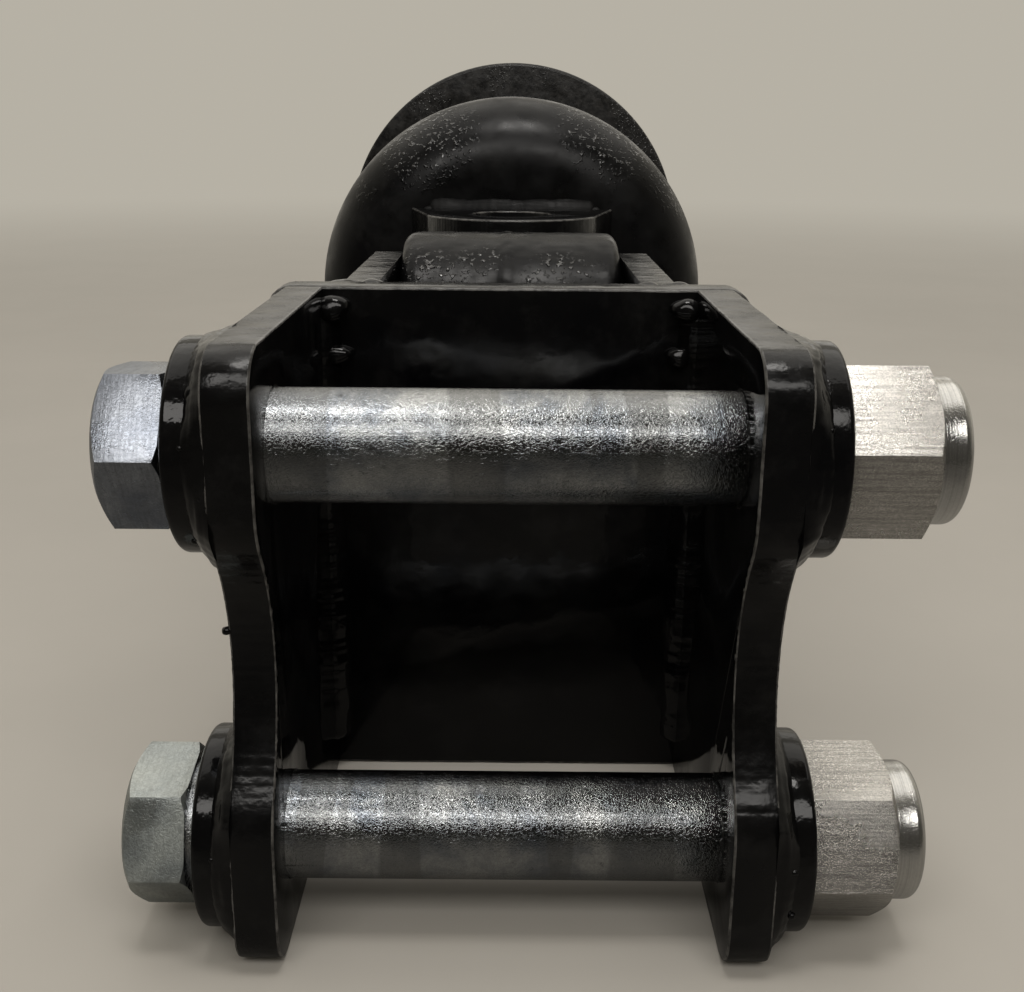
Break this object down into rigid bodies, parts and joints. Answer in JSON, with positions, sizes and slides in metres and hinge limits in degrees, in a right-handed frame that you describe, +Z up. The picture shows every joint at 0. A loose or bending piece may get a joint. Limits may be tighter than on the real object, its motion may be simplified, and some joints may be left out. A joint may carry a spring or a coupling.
{
  "type": "earth auger drive",
  "caption": "Hydraulic earth auger drive: bell hood over motor and planetary gearbox, round output shaft with lock pin bore, two axis knuckle and double pin cradle hitch.",
  "frame": {"origin": "where the axis of the auger's lock pin bore crosses the axis of the output shaft", "axes": "+Y along the drive's axis out of the output shaft, +X across along the hitch pins towards their nuts, +Z up from the floor that the hitch and the gearbox flanges lie on"},
  "size_m": [0.238, 0.8545, 0.221],
  "materials": {
    "black_paint": "gloss black enamel over flame cut plate and pipe",
    "cast_paint": "black enamel over rough cast iron",
    "zinc_plate": "zinc plated turned pin, a little scratched",
    "zinc_nut": "bright zinc",
    "bronze": "plain bearing bronze",
    "ground_steel": "ground bearing and gear steel",
    "seal_rubber": "oil seal rubber",
    "dark_bolt": "black oxide cap screws"
  },
  "bodies": {
    "hitch": {"back_plate": "black_paint", "side_plate_left": "black_paint", "side_plate_right": "black_paint", "boss_upper_left": "black_paint", "boss_upper_right": "black_paint", "boss_lower_left": "black_paint", "boss_lower_right": "black_paint", "hitch_welds": "black_paint", "boss_welds": "black_paint", "rear_ear_left": "black_paint", "rear_ear_right": "black_paint", "rear_ear_welds": "black_paint", "pitch_pin": "zinc_plate", "pitch_pin_bolt": "zinc_nut", "pitch_pin_nipple": "zinc_nut"},
    "dipper_pin": {"dipper_pin": "zinc_plate"},
    "dipper_pin_nut": {"dipper_pin_nut": "zinc_nut"},
    "link_pin": {"link_pin": "zinc_plate"},
    "link_pin_nut": {"link_pin_nut": "zinc_nut"},
    "knuckle": {"knuckle": "cast_paint", "pitch_bush": "bronze", "side_bush": "bronze"},
    "drive": {"hood_shell": "black_paint", "hood_ear_upper": "black_paint", "hood_ear_lower": "black_paint", "hood_ear_welds": "black_paint", "side_pin": "zinc_plate", "side_pin_bolt": "zinc_nut", "side_pin_nipple": "zinc_nut", "hood_flange": "black_paint", "hood_flange_weld": "black_paint", "ring_gear_housing": "cast_paint", "output_housing": "cast_paint", "front_bearing_cup": "ground_steel", "rear_bearing_cup": "ground_steel", "output_seal": "seal_rubber", "input_cover": "cast_paint", "gearbox_bolts": "dark_bolt", "fill_plug": "zinc_nut", "drain_plug": "zinc_nut", "motor_housing": "cast_paint", "motor_gerotor_ring": "ground_steel", "motor_end_cover": "cast_paint", "motor_bolts": "dark_bolt", "port_adapter_a": "zinc_nut", "port_adapter_b": "zinc_nut"},
    "output": {"output_shaft": "ground_steel", "carrier_plate": "ground_steel", "planet_pins": "ground_steel", "front_bearing_cone": "ground_steel", "rear_bearing_cone": "ground_steel"},
    "input": {"sun_gear": "ground_steel", "motor_shaft": "ground_steel"},
    "planet_1": {"planet_gear_1": "ground_steel"},
    "planet_2": {"planet_gear_2": "ground_steel"},
    "planet_3": {"planet_gear_3": "ground_steel"}
  },
  "joints": [
    {"name": "pitch_swing", "type": "hinge", "parent": "hitch", "child": "knuckle", "pos_m": [0, -0.611, 0], "axis": [1, 0, 0], "range_deg": [-90, 90]},
    {"name": "side_swing", "type": "hinge", "parent": "knuckle", "child": "drive", "pos_m": [0, -0.549, 0], "axis": [0, 0, 1], "range_deg": [-30, 30]},
    {"name": "output_spin", "type": "hinge", "parent": "drive", "child": "output", "pos_m": [0, 0, 0], "axis": [0, 1, 0], "continuous": true},
    {"name": "input_spin", "type": "hinge", "parent": "drive", "child": "input", "pos_m": [0, -0.14, 0], "axis": [0, 1, 0], "continuous": true},
    {"name": "planet_1_spin", "type": "hinge", "parent": "output", "child": "planet_1", "pos_m": [0, -0.14, 0.045], "axis": [0, 1, 0], "continuous": true},
    {"name": "planet_2_spin", "type": "hinge", "parent": "output", "child": "planet_2", "pos_m": [-0.03897, -0.14, -0.0225], "axis": [0, 1, 0], "continuous": true},
    {"name": "planet_3_spin", "type": "hinge", "parent": "output", "child": "planet_3", "pos_m": [0.03897, -0.14, -0.0225], "axis": [0, 1, 0], "continuous": true},
    {"name": "dipper_pin_pull", "type": "slide", "parent": "hitch", "child": "dipper_pin", "axis": [-1, 0, 0], "range_m": [0, 0.165]},
    {"name": "dipper_nut_off", "type": "slide", "parent": "hitch", "child": "dipper_pin_nut", "axis": [1, 0, 0], "range_m": [0, 0.06]},
    {"name": "link_pin_pull", "type": "slide", "parent": "hitch", "child": "link_pin", "axis": [-1, 0, 0], "range_m": [0, 0.165]},
    {"name": "link_nut_off", "type": "slide", "parent": "hitch", "child": "link_pin_nut", "axis": [1, 0, 0], "range_m": [0, 0.06]}
  ],
  "couplings": [
    {"joint": "input_spin", "follows": "output_spin", "ratio": 5},
    {"joint": "planet_1_spin", "follows": "output_spin", "ratio": -2.6667},
    {"joint": "planet_2_spin", "follows": "output_spin", "ratio": -2.6667},
    {"joint": "planet_3_spin", "follows": "output_spin", "ratio": -2.6667}
  ]
}
